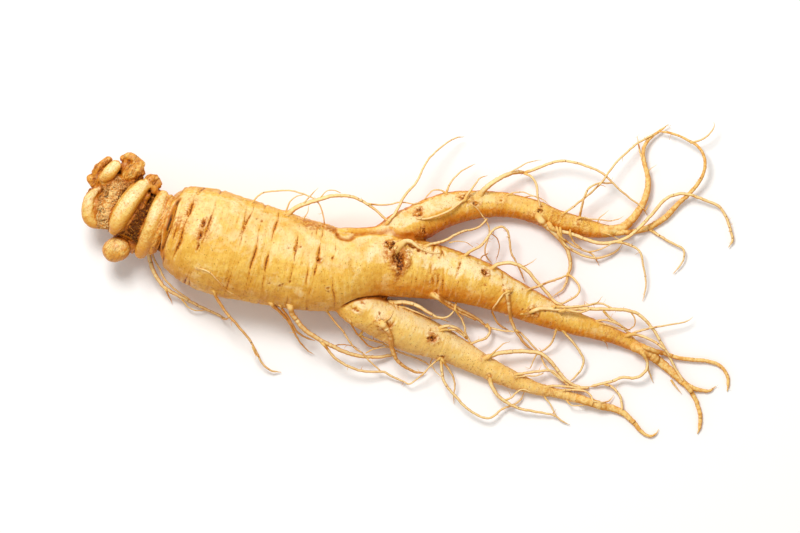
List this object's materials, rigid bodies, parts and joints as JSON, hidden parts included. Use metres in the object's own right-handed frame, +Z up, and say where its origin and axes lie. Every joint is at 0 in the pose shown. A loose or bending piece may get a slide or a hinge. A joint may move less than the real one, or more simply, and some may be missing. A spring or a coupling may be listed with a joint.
{
  "type": "ginseng root",
  "caption": "Whole fresh ginseng root with a knobbly head, a ringed tapering trunk, legs and long curling rootlets, lying on its side.",
  "frame": {"origin": "on the surface the root lies on, under the middle of its outline", "axes": "+X from the head towards the tips, +Y across the root on the side of the upper leg, +Z up"},
  "size_m": [0.1951, 0.0946, 0.0298],
  "materials": {
    "root_skin": "moist, faintly waxy root skin, cream to tan, with brown rings and scars"
  },
  "bodies": {
    "root": {"ginseng_root": "root_skin"}
  },
  "joints": []
}
